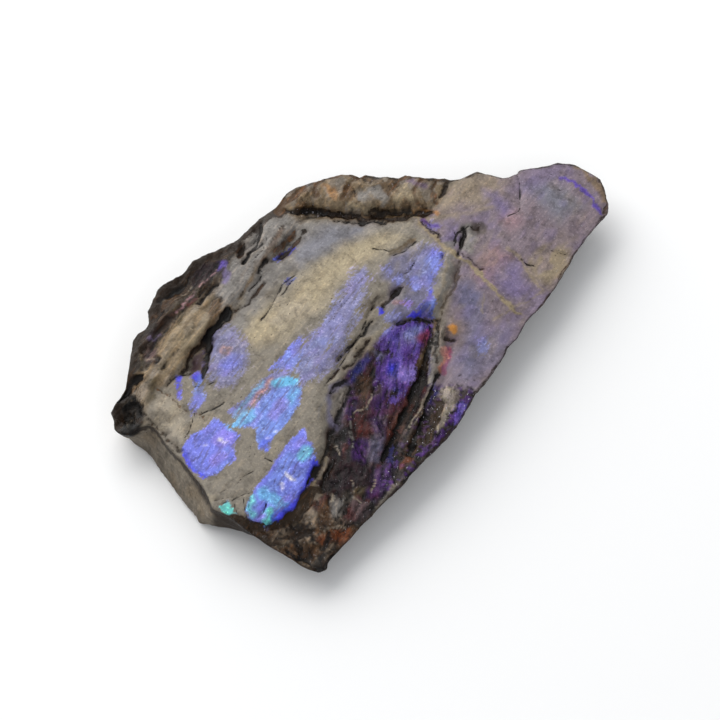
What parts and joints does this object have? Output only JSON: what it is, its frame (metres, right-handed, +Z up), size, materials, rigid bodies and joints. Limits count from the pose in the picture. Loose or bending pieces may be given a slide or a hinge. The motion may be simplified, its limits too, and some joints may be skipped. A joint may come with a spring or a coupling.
{
  "type": "rough ammolite",
  "caption": "Rough slab of iridescent fossil ammonite shell on grey shale, with broken layered edges and undercut front, lying flat.",
  "frame": {"origin": "centre of the stone's box in plan, on the plane that it lies on", "axes": "+X along the stone's length towards its narrow end, +Y towards its back edge, +Z up out of the bright face"},
  "size_m": [0.064, 0.0438, 0.007],
  "materials": {
    "shell_on_shale": "satin nacre with blue and violet play of colour over dark shale"
  },
  "bodies": {
    "root": {"ammolite": "shell_on_shale"}
  },
  "joints": []
}
